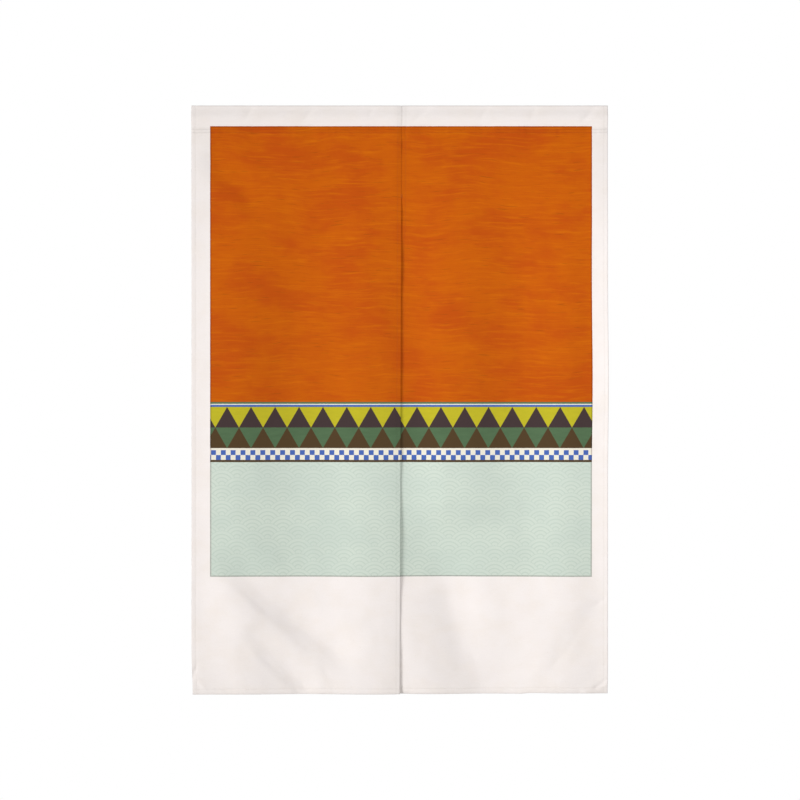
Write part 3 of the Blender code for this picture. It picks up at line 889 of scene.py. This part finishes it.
def scale_waves(n, u, v):
    """Sage ground with the traditional pattern of overlapping round waves, tone on tone."""
    half_row = WAVE_RADIUS / 2
    from_top = n.math("SUBTRACT", v, SAGE_STARTS)
    row = n.math("FLOOR", n.math("DIVIDE", from_top, half_row))
    radii = []
    for lower in (2.0, 1.0, 0.0):
        this_row = n.math("ADD", row, lower)
        odd = n.math("ABSOLUTE", n.math("MODULO", this_row, 2.0))
        moved = n.math("MULTIPLY_ADD", odd, WAVE_RADIUS, u)
        turn = n.math("FRACT", n.math("DIVIDE", moved, 2 * WAVE_RADIUS))
        aside = n.math("MULTIPLY", n.math("SUBTRACT", turn, 0.5), 2 * WAVE_RADIUS)
        down = n.math("SUBTRACT", from_top, n.math("MULTIPLY", this_row, half_row))
        squares = n.math("ADD", n.math("MULTIPLY", aside, aside), n.math("MULTIPLY", down, down))
        radii.append(n.math("DIVIDE", n.math("SQRT", squares), WAVE_RADIUS))
    radius = radii[2]
    for candidate in (radii[1], radii[0]):
        inside = n.math("LESS_THAN", candidate, 1.0)
        chosen = n.math("MULTIPLY", candidate, inside)
        radius = n.math("MULTIPLY_ADD", radius, n.math("SUBTRACT", 1.0, inside), chosen)
    ring = n.math("ABSOLUTE", n.math("SUBTRACT", n.math("FRACT", n.math("MULTIPLY", radius, 4.0)), 0.5))
    line = n.rise(ring, 0.30, 0.38)
    cloudy = n.noise(u, v, 9.0, 14.0, 4.0, 0.6, 9.4)
    ground = n.mix(n.rise(cloudy, 0.35, 0.65), SAGE, linear(198, 209, 199))
    return n.mix(n.math("MULTIPLY", line, 0.72), ground, SAGE_DEEP)


def printed_design(n, u, v):
    """The generic design's colour, and 1 inside the printed field."""
    inked = []
    for place, seed in ((u, 0.4), (v, 12.4)):
        wobble = n.math("SUBTRACT", n.noise(u, v, 420, 420, 2.0, 0.6, seed), 0.5)
        inked.append(n.math("ADD", place, n.math("MULTIPLY", wobble, INK_WOBBLE)))
    inked_u, inked_v = inked
    soft = INK_SOFT
    bands = (
        (ORANGE_ENDS, DARK_GREEN),
        (LIGHT_LINE, OFF_WHITE),
        (BLUE_LINE, BLUE),
        (TRIANGLES_START, triangle_rows(n, inked_u, inked_v)),
        (TRIANGLES_START + 2 * TRIANGLE_HEIGHT, OFF_WHITE),
        (CHECKS_START, check_rows(n, inked_u, inked_v)),
        (CHECKS_START + CHECK_ROWS * CHECK_SIZE, DARK_BROWN),
        (SAGE_STARTS, scale_waves(n, inked_u, inked_v)),
    )
    colour = orange_ground(n, u, v)
    for band_start, band_colour in bands:
        colour = n.mix(n.rise(inked_v, band_start - soft, band_start + soft), colour, band_colour)
    inside = n.math(
        "MULTIPLY",
        n.between(inked_u, PRINT_LEFT, PRINT_RIGHT, soft),
        n.between(inked_v, PRINT_TOP, PRINT_DROP, soft),
    )
    within = n.math(
        "MULTIPLY",
        n.between(inked_u, PRINT_LEFT + EDGE_LINE, PRINT_RIGHT - EDGE_LINE, soft),
        n.between(inked_v, PRINT_TOP + EDGE_LINE, PRINT_DROP - EDGE_LINE, soft),
    )
    return n.mix(n.math("SUBTRACT", 1.0, within), colour, EDGE_INK, "MULTIPLY"), inside


def cloth_colour(n, u, v):
    """Undyed cotton: slightly cloudy, with flecks of seed and husk."""
    cloudy = n.noise(u, v, 16, 22, 5.0, 0.62, 0.9)
    colour = n.mix(n.rise(cloudy, 0.36, 0.72), NATURAL, NATURAL_WARM)
    fleck = n.rise(n.noise(u, v, 620, 420, 1.0, 0.4, 15.2), 0.77, 0.80)
    return n.mix(n.math("MULTIPLY", fleck, 0.35), colour, linear(176, 154, 124))


def sewn_shade(n, u, v):
    """A factor below 1 that is painted shade: beside the seam, on the hems, on the pocket's band and at the
    edges, and in the rows of stitches, where the needle holes add their own darkening.
    """
    width = CURTAIN_WIDTH / 2
    from_centre = n.math("ABSOLUTE", n.math("SUBTRACT", u, width))
    to_outer = n.math("MINIMUM", u, n.math("SUBTRACT", CURTAIN_WIDTH, u))
    to_side = n.math("MINIMUM", to_outer, from_centre)
    to_bottom = n.math("SUBTRACT", CURTAIN_DROP, v)
    to_edge = n.math("MINIMUM", to_side, to_bottom)
    sewn = n.rise(v, SEAM_DROP + 0.012, SEAM_DROP - 0.012)
    seam = n.math("MULTIPLY", n.rise(from_centre, SEAM_SHADE_REACH, 0.0), sewn)
    shares = [
        # painted shade beside the sewn seam, and on the side and bottom hems
        (SEAM_SHADE, seam),
        (HEM_SHADE, n.rise(to_side, SIDE_HEM + 0.0012, SIDE_HEM - 0.0012)),
        (BOTTOM_SHADE, n.rise(to_bottom, BOTTOM_HEM + 0.0012, BOTTOM_HEM - 0.0012)),
        # painted shade of the hem's rolled edge, all round the cloth
        (EDGE_SHADE, n.rise(to_edge, 0.0016, 0.0004)),
        # painted shade on the pocket's band between its two rows of stitches
        (POCKET_BAND_SHADE, n.between(v, UPPER_STITCH_DROP - 0.004, LOWER_STITCH_DROP, 0.0012)),
    ]
    # the rows of stitches: the needle holes' own darkening, with painted shade along each row
    rows = (
        (HEM_ROW_SHADE, to_outer, SIDE_STITCHES, 0.0010, 0.0002),
        (HEM_ROW_SHADE, to_bottom, BOTTOM_STITCHES, 0.0010, 0.0002),
        (POCKET_ROW_SHADE, v, LOWER_STITCH_DROP, 0.0013, 0.0003),
        (POCKET_ROW_SHADE, v, UPPER_STITCH_DROP, 0.0013, 0.0003),
    )
    for amount, place, row, reach, core in rows:
        from_row = n.math("ABSOLUTE", n.math("SUBTRACT", place, row))
        shares.append((amount, n.rise(from_row, reach, core)))
    shade = 1.0
    for amount, share in shares:
        shade = n.math("MULTIPLY", shade, n.math("MULTIPLY_ADD", share, -amount, 1.0))
    return shade


def new_material(name):
    material = bpy.data.materials.new(name)
    material.use_nodes = True
    shader = material.node_tree.nodes["Principled BSDF"]
    return material, Nodes(material.node_tree), shader


def flat_place(n):
    place = n.add("ShaderNodeUVMap", {}, uv_map="flat").outputs[0]
    parts = n.add("ShaderNodeSeparateXYZ", {0: place}).outputs
    return parts[0], parts[1]


def cloth_material(name, ink_strength):
    """Plain-woven cotton that carries this share of the print."""
    material, n, shader = new_material(name)
    u, v = flat_place(n)
    threads = weave(n, u, v)
    thick = slubs(n, u, v)
    ink, inside = printed_design(n, u, v)
    base = cloth_colour(n, u, v)
    take = n.math("MULTIPLY_ADD", threads, 0.006, 0.994)
    share = n.math("MULTIPLY", n.math("MULTIPLY", inside, take), ink_strength)
    colour = n.mix(share, base, ink)
    grain = n.math("MULTIPLY_ADD", threads, 0.07, 0.965)
    grain = n.math("MULTIPLY_ADD", thick, 0.035, grain)
    tint = n.math("MULTIPLY_ADD", n.noise(u, v, 260, 260, 3.0, 0.7, 21.0), 0.05, 0.975)
    # the colour is also multiplied by the painted shade of sewn_shade
    grain = n.math("MULTIPLY", n.math("MULTIPLY", grain, tint), sewn_shade(n, u, v))
    grey = n.add("ShaderNodeCombineColor", {0: grain, 1: grain, 2: grain}).outputs[0]
    colour = n.mix(1.0, colour, grey, "MULTIPLY")
    n.feed(shader.inputs["Base Color"], colour)
    rough = n.math("MULTIPLY_ADD", n.noise(u, v, 55, 55, 3.0, 0.6, 31.0), 0.10, 0.84)
    n.feed(shader.inputs["Roughness"], n.math("MULTIPLY_ADD", inside, -0.04, rough))
    height = n.math("MULTIPLY_ADD", thick, 0.8, threads)
    fuzz = n.noise(u, v, 2600, 2600, 2.0, 0.6, 41.0)
    height = n.math("MULTIPLY_ADD", fuzz, 0.35, height)
    bump = n.add("ShaderNodeBump", {"Strength": 0.30, "Distance": 0.00022, "Height": height})
    n.feed(shader.inputs["Normal"], bump.outputs[0])
    shader.inputs["Specular IOR Level"].default_value = 0.03
    return material


def thread_material():
    """Sewing cotton, which the print has coloured where it crosses it."""
    material, n, shader = new_material("sewing_thread")
    u, v = flat_place(n)
    ink, inside = printed_design(n, u, v)
    colour = n.mix(n.math("MULTIPLY", inside, 0.97), THREAD, ink)
    object_place = n.add("ShaderNodeTexCoord", {}).outputs["Object"]
    x, y, z = n.add("ShaderNodeSeparateXYZ", {0: object_place}).outputs
    ply = n.math("ADD", n.math("ADD", x, y), z)
    twist = n.math("SINE", n.math("MULTIPLY", ply, TWO_PI / 0.00035))
    # painted shade in the grooves between the plies, over the twist's bump
    shade = n.math("MULTIPLY_ADD", twist, 0.05, 0.93)
    grey = n.add("ShaderNodeCombineColor", {0: shade, 1: shade, 2: shade}).outputs[0]
    n.feed(shader.inputs["Base Color"], n.mix(1.0, colour, grey, "MULTIPLY"))
    rough = n.math("MULTIPLY_ADD", n.noise(x, z, 900, 900, 2.0, 0.5, 2.0), 0.12, 0.62)
    n.feed(shader.inputs["Roughness"], rough)
    bump = n.add("ShaderNodeBump", {"Strength": 0.4, "Distance": 0.00005, "Height": twist})
    n.feed(shader.inputs["Normal"], bump.outputs[0])
    shader.inputs["Specular IOR Level"].default_value = 0.05
    return material


def floor_material():
    material, n, shader = new_material("studio_floor")
    place = n.add("ShaderNodeTexCoord", {}).outputs["Object"]
    x, y, _ = n.add("ShaderNodeSeparateXYZ", {0: place}).outputs
    cloudy = n.noise(x, y, 3, 3, 3.0, 0.5, 1.0)
    n.feed(shader.inputs["Base Color"], n.mix(cloudy, (0.80, 0.80, 0.79, 1.0), (0.84, 0.84, 0.83, 1.0)))
    shader.inputs["Roughness"].default_value = 0.8
    return material


# Studio
FLOOR_Z = -2.0
FLOOR_SIZE = 6.0
CAMERA_DISTANCE = 4.528
CAMERA_HEIGHT = -0.600
CAMERA_LENS = 100.0
CAMERA_SENSOR = 36.0
WORLD_ABOVE = 0.50
WORLD_BELOW = 0.22

Lamp = namedtuple("Lamp", "name place aim width height power")
LAMPS = (
    Lamp("key_light", (-9.3, -7.5, -0.9), (0.0, 0.0, -0.60), 5.0, 5.0, 968.0),
    Lamp("front_strip", (0.30, -0.95, -0.50), (0.30, 0.0, -0.50), 0.9, 0.2, 3.4),
    Lamp("back_light", (3.0, 5.0, 0.3), (0.0, 0.0, -0.60), 2.4, 2.4, 200.0),
)


def aimed(piece, target):
    direction = (Vector(target) - piece.location).normalized()
    piece.rotation_euler = direction.to_track_quat("-Z", "Y").to_euler()


def build_studio():
    floor_mesh = bpy.data.meshes.new("studio_floor")
    h = FLOOR_SIZE / 2
    corners = [(-h, -h, FLOOR_Z), (h, -h, FLOOR_Z), (h, h, FLOOR_Z), (-h, h, FLOOR_Z)]
    floor_mesh.from_pydata(corners, [], [(0, 1, 2, 3)])
    floor_mesh.materials.append(floor_material())
    floor = bpy.data.objects.new("studio_floor", floor_mesh)
    bpy.context.scene.collection.objects.link(floor)
    for lamp in LAMPS:
        light = bpy.data.lights.new(lamp.name, "AREA")
        light.shape = "RECTANGLE"
        light.size = lamp.width
        light.size_y = lamp.height
        light.energy = lamp.power
        piece = bpy.data.objects.new(lamp.name, light)
        bpy.context.scene.collection.objects.link(piece)
        piece.location = lamp.place
        aimed(piece, lamp.aim)
        piece.visible_camera = False
    world = bpy.data.worlds.new("studio")
    bpy.context.scene.world = world
    world.use_nodes = True
    n = Nodes(world.node_tree)
    seen = n.add("ShaderNodeLightPath", {}).outputs["Is Camera Ray"]
    looked_along = n.add("ShaderNodeTexCoord", {}).outputs["Generated"]
    upward = n.add("ShaderNodeSeparateXYZ", {0: looked_along}).outputs[2]
    level = n.math("MULTIPLY_ADD", n.rise(upward, -0.5, 0.5), WORLD_ABOVE - WORLD_BELOW, WORLD_BELOW)
    unseen = n.math("MULTIPLY", level, n.math("SUBTRACT", 1.0, seen))
    background = world.node_tree.nodes["Background"]
    background.inputs["Color"].default_value = (1.0, 1.0, 1.0, 1.0)
    n.feed(background.inputs["Strength"], n.math("ADD", unseen, seen))
    camera_data = bpy.data.cameras.new("camera")
    camera_data.lens = CAMERA_LENS
    camera_data.sensor_width = CAMERA_SENSOR
    camera = bpy.data.objects.new("camera", camera_data)
    bpy.context.scene.collection.objects.link(camera)
    camera.location = (0.0, -CAMERA_DISTANCE, CAMERA_HEIGHT)
    camera.rotation_euler = (math.pi / 2, 0.0, 0.0)
    bpy.context.scene.camera = camera
    bpy.context.scene.view_settings.view_transform = "Standard"


def build_curtain():
    front = cloth_material("printed_cotton", 1.0)
    back = cloth_material("cotton_back", 0.22)
    thread = thread_material()
    sheets, pieces = {}, {}
    for name, left in (("left", True), ("right", False)):
        sheets[name] = lay_out_sheet(left)
        cloth = add_cloth(name + "_cloth", sheets[name], left, (front, back))
        sewing = sew_panel(name + "_stitches", sheets[name], left, thread)
        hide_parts(name + "_panel", name + "_heading")
        pieces[name] = (cloth, sewing)
    seam = sew_centre("centre_stitches", sheets["left"], sheets["right"], thread)


build_curtain()
build_studio()
